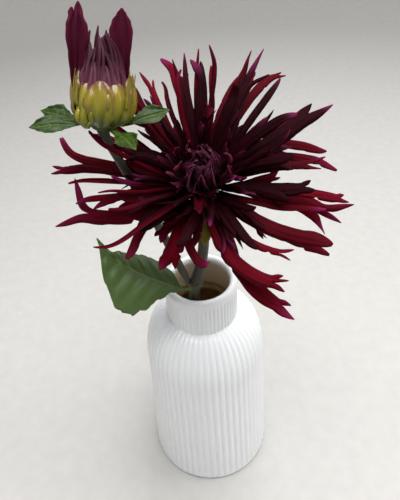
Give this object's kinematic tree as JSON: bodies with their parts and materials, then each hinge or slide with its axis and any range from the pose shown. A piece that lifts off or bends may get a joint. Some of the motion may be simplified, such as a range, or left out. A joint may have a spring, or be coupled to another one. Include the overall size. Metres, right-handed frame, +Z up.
{
  "type": "dahlia in vase",
  "caption": "Deep maroon cactus dahlia with split narrow florets, a side bud and a leaf, on cut stems in a white ribbed ceramic bottle vase with a short neck.",
  "frame": {"origin": "centre of the vase's foot, on the surface it stands on", "axes": "+Z up along the vase's axis, -Y the side the open flower nods towards, +X to the right seen from that side"},
  "size_m": [0.1484, 0.1233, 0.358],
  "materials": {
    "white_glaze": "satin white glaze outside, unglazed buff inside",
    "stem_green": "matt grey-green cut stem, fibrous",
    "leaf_green": "fresh green leaf blade, soft sheen",
    "bract_green": "fresh green, slightly glossy",
    "bract_yellow": "yellow-green, waxy gloss",
    "floret_crimson": "velvety crimson petal, magenta towards the tip",
    "floret_maroon": "velvety near-black maroon petal",
    "bud_purple": "matt dusky purple petal backs"
  },
  "bodies": {
    "root": {"bud_calyx": "bract_green", "bud_cone": "bud_purple", "bud_inner_bract_1": "bract_yellow", "bud_inner_bract_2": "bract_yellow", "bud_inner_bract_3": "bract_yellow", "bud_inner_bract_4": "bract_yellow", "bud_inner_bract_5": "bract_yellow", "bud_inner_bract_6": "bract_yellow", "bud_inner_bract_7": "bract_yellow", "bud_inner_bract_8": "bract_yellow", "bud_open_floret_1": "floret_maroon", "bud_open_floret_2": "floret_maroon", "bud_outer_bract_1": "bract_green", "bud_outer_bract_2": "bract_green", "bud_outer_bract_3": "bract_green", "bud_outer_bract_4": "bract_green", "bud_outer_bract_5": "bract_green", "bud_stem": "stem_green", "eye_florets": "floret_maroon", "flower_bract_1": "bract_yellow", "flower_bract_2": "bract_yellow", "flower_bract_3": "bract_yellow", "flower_bract_4": "bract_yellow", "flower_calyx": "bract_green", "heart_floret_01": "floret_maroon", "heart_floret_02": "floret_maroon", "heart_floret_03": "floret_maroon", "heart_floret_04": "floret_maroon", "inner_floret_01": "floret_maroon", "inner_floret_02": "floret_maroon", "inner_floret_03": "floret_maroon", "inner_floret_04": "floret_maroon", "inner_floret_05": "floret_maroon", "inner_floret_06": "floret_maroon", "inner_floret_07": "floret_maroon", "inner_floret_08": "floret_maroon", "inner_floret_09": "floret_maroon", "leaf": "leaf_green", "main_stem": "stem_green", "middle_floret_01": "floret_crimson", "middle_floret_02": "floret_crimson", "middle_floret_03": "floret_crimson", "middle_floret_04": "floret_crimson", "middle_floret_05": "floret_crimson", "middle_floret_06": "floret_crimson", "middle_floret_07": "floret_crimson", "middle_floret_08": "floret_crimson", "middle_floret_09": "floret_crimson", "middle_floret_10": "floret_crimson", "outer_floret_01": "floret_crimson", "outer_floret_02": "floret_crimson", "outer_floret_03": "floret_crimson", "outer_floret_04": "floret_crimson", "outer_floret_05": "floret_crimson", "outer_floret_06": "floret_crimson", "outer_floret_07": "floret_crimson", "outer_floret_08": "floret_crimson", "outer_floret_09": "floret_crimson", "vase": "white_glaze"}
  },
  "joints": []
}
